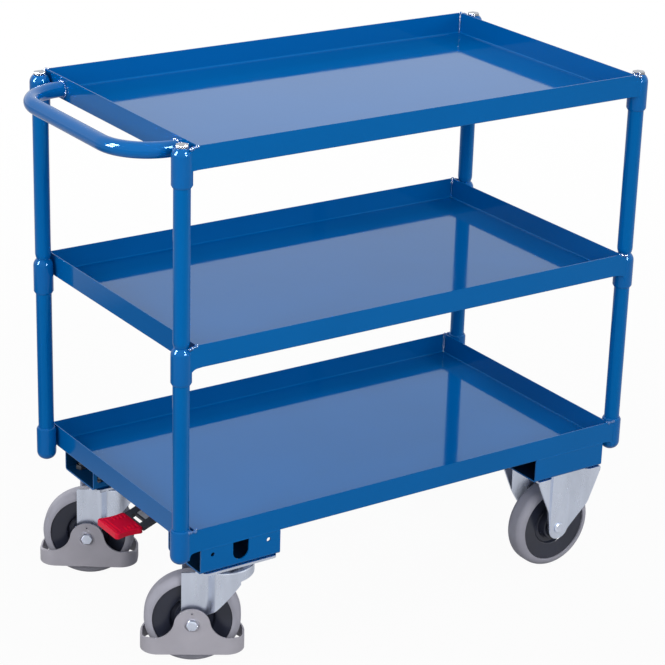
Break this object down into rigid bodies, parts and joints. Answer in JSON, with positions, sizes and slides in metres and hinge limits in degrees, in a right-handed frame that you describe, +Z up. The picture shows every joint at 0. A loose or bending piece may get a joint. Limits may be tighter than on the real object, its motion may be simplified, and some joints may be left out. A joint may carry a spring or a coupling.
{
  "type": "shelf trolley",
  "caption": "Three-tier shelf trolley: welded sheet trays on bolted tube posts, a push handle, two fixed castors and two swivel castors locked together by one foot pedal.",
  "frame": {"origin": "on the floor under the middle of the whole trolley's bounding box", "axes": "+X from the push handle towards the fixed castors, +Y away from the near side seen in the picture, +Z up"},
  "size_m": [0.9854, 0.5122, 0.9115],
  "materials": {
    "blue_powder_coat": "glossy powder coat",
    "zinc_plate": "bright zinc plate",
    "grey_tyre": "matt, non-marking",
    "dark_hub": "satin moulding",
    "bearing_steel": "ground",
    "grey_guard": "satin moulding",
    "dark_steel": "dark satin coating",
    "dark_bush": "moulded",
    "red_pad": "satin moulding"
  },
  "bodies": {
    "frame": {"top_tray": "blue_powder_coat", "middle_tray": "blue_powder_coat", "lower_tray": "blue_powder_coat", "top_sleeves": "blue_powder_coat", "middle_sleeves": "blue_powder_coat", "lower_sleeves": "blue_powder_coat", "upper_posts": "blue_powder_coat", "lower_posts": "blue_powder_coat", "post_plugs": "zinc_plate", "post_bolts": "zinc_plate", "middle_studs": "zinc_plate", "handle": "blue_powder_coat", "swivel_bracket_near": "blue_powder_coat", "swivel_bracket_far": "blue_powder_coat", "fixed_bracket_near": "blue_powder_coat", "fixed_bracket_far": "blue_powder_coat", "plate_bolts": "zinc_plate", "plate_nuts": "zinc_plate", "swivel_plates": "zinc_plate", "kingpins": "zinc_plate", "bearing_balls": "bearing_steel", "fixed_fork_near": "zinc_plate", "fixed_fork_far": "zinc_plate", "axle_sleeves_fixed": "zinc_plate", "axle_bolts_fixed": "zinc_plate", "axle_nuts_fixed": "zinc_plate", "shaft_hangers": "blue_powder_coat", "shaft_bushes": "dark_bush"},
    "swivel_near": {"swivel_fork_near": "zinc_plate", "guard_near": "grey_guard", "axle_bolt_swivel_near": "zinc_plate", "axle_nut_swivel_near": "zinc_plate", "axle_sleeve_swivel_near": "zinc_plate"},
    "wheel_swivel_near": {"tyre_swivel_near": "grey_tyre", "hub_swivel_near": "dark_hub", "wheel_bearings_swivel_near": "bearing_steel"},
    "brake_near": {"brake_plunger_near": "zinc_plate", "brake_shoe_near": "dark_steel"},
    "swivel_far": {"swivel_fork_far": "zinc_plate", "guard_far": "grey_guard", "axle_bolt_swivel_far": "zinc_plate", "axle_nut_swivel_far": "zinc_plate", "axle_sleeve_swivel_far": "zinc_plate"},
    "wheel_swivel_far": {"tyre_swivel_far": "grey_tyre", "hub_swivel_far": "dark_hub", "wheel_bearings_swivel_far": "bearing_steel"},
    "brake_far": {"brake_plunger_far": "zinc_plate", "brake_shoe_far": "dark_steel"},
    "wheel_fixed_near": {"tyre_fixed_near": "grey_tyre", "hub_fixed_near": "dark_hub", "wheel_bearings_fixed_near": "bearing_steel"},
    "wheel_fixed_far": {"tyre_fixed_far": "grey_tyre", "hub_fixed_far": "dark_hub", "wheel_bearings_fixed_far": "bearing_steel"},
    "brake_pedal": {"pedal_pad": "red_pad", "pedal_tongue": "zinc_plate", "pedal_lever": "dark_steel", "brake_shaft": "zinc_plate", "brake_cams": "dark_steel"}
  },
  "joints": [
    {"name": "swivel_turn_near", "type": "hinge", "parent": "frame", "child": "swivel_near", "pos_m": [-0.30745, -0.20109, 0.18], "axis": [0, 0, 1], "continuous": true},
    {"name": "swivel_wheel_spin_near", "type": "hinge", "parent": "swivel_near", "child": "wheel_swivel_near", "pos_m": [-0.35103, -0.17459, 0.08], "axis": [-0.5195, -0.8545, 0], "continuous": true},
    {"name": "swivel_turn_far", "type": "hinge", "parent": "frame", "child": "swivel_far", "pos_m": [-0.30745, 0.15891, 0.18], "axis": [0, 0, 1], "continuous": true},
    {"name": "swivel_wheel_spin_far", "type": "hinge", "parent": "swivel_far", "child": "wheel_swivel_far", "pos_m": [-0.34963, 0.18758, 0.08], "axis": [-0.5621, -0.8271, 0], "continuous": true},
    {"name": "fixed_wheel_spin_near", "type": "hinge", "parent": "frame", "child": "wheel_fixed_near", "pos_m": [0.37445, -0.20109, 0.08], "axis": [0, -1, 0], "continuous": true},
    {"name": "fixed_wheel_spin_far", "type": "hinge", "parent": "frame", "child": "wheel_fixed_far", "pos_m": [0.37445, 0.15891, 0.08], "axis": [0, -1, 0], "continuous": true},
    {"name": "brake_pedal_press", "type": "hinge", "parent": "frame", "child": "brake_pedal", "pos_m": [-0.30145, -0.02109, 0.217], "axis": [0, -1, 0], "range_deg": [0, 20]},
    {"name": "brake_push_near", "type": "slide", "parent": "swivel_near", "child": "brake_near", "axis": [0, 0, -1], "range_m": [0, 0.0021]},
    {"name": "brake_push_far", "type": "slide", "parent": "swivel_far", "child": "brake_far", "axis": [0, 0, -1], "range_m": [0, 0.0021]}
  ],
  "couplings": [
    {"joint": "brake_push_near", "follows": "brake_pedal_press", "m_per_rad": 0.006},
    {"joint": "brake_push_far", "follows": "brake_pedal_press", "m_per_rad": 0.006}
  ]
}
